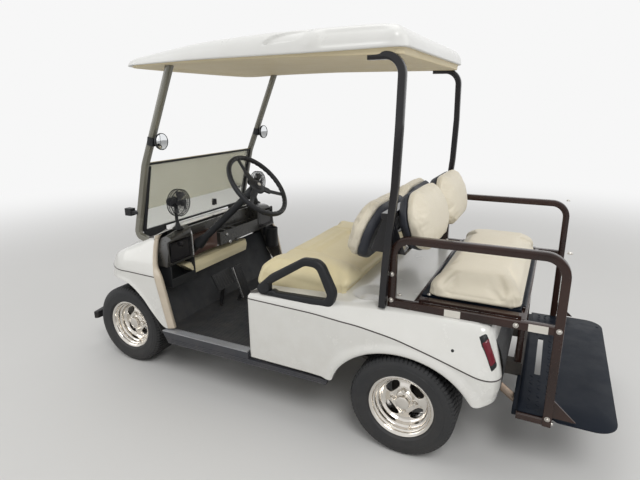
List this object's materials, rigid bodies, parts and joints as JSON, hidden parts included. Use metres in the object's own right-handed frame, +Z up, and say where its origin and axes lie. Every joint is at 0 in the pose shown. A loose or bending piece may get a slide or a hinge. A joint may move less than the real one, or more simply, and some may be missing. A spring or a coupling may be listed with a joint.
{
  "type": "golf cart",
  "caption": "Open golf cart with a moulded roof, folding windshield, front bench, rear-facing flip seat with rails and footplate, and steered front wheels.",
  "frame": {"origin": "on the ground under the middle of the overall box", "axes": "+X forward, +Y to the driver's left, +Z up"},
  "size_m": [2.794, 1.256, 1.7679],
  "materials": {
    "pedal": "satin",
    "black_plastic": "moulded, low sheen",
    "black_paint": "gloss powder coat",
    "dash_plastic": "gloss",
    "cream_plastic": "satin",
    "engine_iron": "rough",
    "exhaust_steel": "heat stained",
    "mat_rubber": "ribbed",
    "frame_paint": "satin",
    "seat_vinyl": "grained vinyl",
    "white_body": "gloss",
    "lamp_clear": "clear",
    "bronze_paint": "gloss",
    "mirror": "polished",
    "deck_board": "satin",
    "ledge_alloy": "satin",
    "rocker_plastic": "ribbed",
    "roof_white": "satin",
    "roof_cream": "matte",
    "lamp_red": "gloss lens",
    "tinted_glass": "tinted",
    "tyre": "worn",
    "wheel_chrome": "polished"
  },
  "bodies": {
    "chassis": {"accelerator_pedal": "pedal", "armrests": "black_plastic", "back_frame": "black_paint", "brake_pedal": "pedal", "dash": "dash_plastic", "dash_bins": "black_plastic", "dash_console": "dash_plastic", "dash_tray": "cream_plastic", "engine": "engine_iron", "exhaust": "exhaust_steel", "fan_left": "black_plastic", "fan_right": "black_plastic", "floor_mat": "mat_rubber", "floor_pan": "black_plastic", "footplate": "black_paint", "frame": "frame_paint", "front_axle": "frame_paint", "front_back_shells": "black_plastic", "front_backs": "seat_vinyl", "front_bumper": "black_plastic", "front_cowl": "white_body", "front_struts": "black_paint", "headlamps": "lamp_clear", "kit_frame": "bronze_paint", "mirror_glass": "mirror", "mirrors": "black_plastic", "rear_axle": "frame_paint", "rear_back_shells": "black_plastic", "rear_backs": "seat_vinyl", "rear_body": "white_body", "rear_struts": "black_paint", "rear_suspension": "frame_paint", "rocker_ledges": "ledge_alloy", "rocker_panels": "rocker_plastic", "roof": "roof_white", "roof_liner": "roof_cream", "seat_cushion": "seat_vinyl", "steering_column": "black_paint", "tail_lamps": "lamp_red", "windshield_lower": "tinted_glass", "windshield_trim": "black_plastic", "windshield_upper": "tinted_glass"},
    "wheel_front_left": {"tyre_front_left": "tyre", "rim_front_left": "wheel_chrome"},
    "wheel_front_right": {"tyre_front_right": "tyre", "rim_front_right": "wheel_chrome"},
    "wheel_rear_left": {"tyre_rear_left": "tyre", "rim_rear_left": "wheel_chrome"},
    "wheel_rear_right": {"tyre_rear_right": "tyre", "rim_rear_right": "wheel_chrome"},
    "steering_knuckle_left": {"knuckle_left": "frame_paint"},
    "fan_blades_left": {"fan_rotor_left": "black_plastic"},
    "glovebox_left": {"glovebox_door_left": "dash_plastic"},
    "steering_knuckle_right": {"knuckle_right": "frame_paint"},
    "fan_blades_right": {"fan_rotor_right": "black_plastic"},
    "glovebox_right": {"glovebox_door_right": "dash_plastic"},
    "track_rod": {"tie_rod": "frame_paint"},
    "hand_wheel": {"steering_wheel": "black_plastic"},
    "rear_seat": {"rear_seat_board": "deck_board", "rear_seat_cushion": "seat_vinyl"}
  },
  "joints": [
    {"name": "steer_left", "type": "hinge", "parent": "chassis", "child": "steering_knuckle_left", "pos_m": [1.067, 0.345, 0.2295], "axis": [0, 0, 1], "range_deg": [-30, 30]},
    {"name": "steer_right", "type": "hinge", "parent": "chassis", "child": "steering_knuckle_right", "pos_m": [1.067, -0.345, 0.2295], "axis": [0, 0, 1], "range_deg": [-30, 30]},
    {"name": "track_rod_pin", "type": "hinge", "parent": "steering_knuckle_left", "child": "track_rod", "pos_m": [0.987, 0.345, 0.1835], "axis": [0, 0, 1], "range_deg": [-30, 30]},
    {"name": "steering_wheel_turn", "type": "hinge", "parent": "chassis", "child": "hand_wheel", "pos_m": [0.289, 0.28, 1.066], "axis": [-0.7577, 0, 0.6527], "range_deg": [-360, 360]},
    {"name": "roll_front_left", "type": "hinge", "parent": "steering_knuckle_left", "child": "wheel_front_left", "pos_m": [1.067, 0.432, 0.2295], "axis": [0, 1, 0], "continuous": true},
    {"name": "roll_front_right", "type": "hinge", "parent": "steering_knuckle_right", "child": "wheel_front_right", "pos_m": [1.067, -0.432, 0.2295], "axis": [0, 1, 0], "continuous": true},
    {"name": "roll_rear_left", "type": "hinge", "parent": "chassis", "child": "wheel_rear_left", "pos_m": [-0.597, 0.522, 0.2295], "axis": [0, 1, 0], "continuous": true},
    {"name": "roll_rear_right", "type": "hinge", "parent": "chassis", "child": "wheel_rear_right", "pos_m": [-0.597, -0.522, 0.2295], "axis": [0, 1, 0], "continuous": true},
    {"name": "fan_spin_left", "type": "hinge", "parent": "chassis", "child": "fan_blades_left", "pos_m": [0.733, 0.385, 0.96], "axis": [1, 0, 0], "continuous": true},
    {"name": "glovebox_hinge_left", "type": "hinge", "parent": "chassis", "child": "glovebox_left", "pos_m": [0.7165, 0.44, 0.6585], "axis": [0, -1, 0], "range_deg": [0, 75]},
    {"name": "fan_spin_right", "type": "hinge", "parent": "chassis", "child": "fan_blades_right", "pos_m": [0.733, -0.385, 0.96], "axis": [1, 0, 0], "continuous": true},
    {"name": "glovebox_hinge_right", "type": "hinge", "parent": "chassis", "child": "glovebox_right", "pos_m": [0.7165, -0.44, 0.6585], "axis": [0, -1, 0], "range_deg": [0, 75]},
    {"name": "rear_seat_flip", "type": "hinge", "parent": "chassis", "child": "rear_seat", "pos_m": [-1.025, 0, 0.6823], "axis": [0, -1, 0], "range_deg": [0, 180]}
  ],
  "couplings": [
    {"joint": "steer_right", "follows": "steer_left", "ratio": 1},
    {"joint": "track_rod_pin", "follows": "steer_left", "ratio": -1},
    {"joint": "steering_wheel_turn", "follows": "steer_left", "ratio": 12}
  ]
}
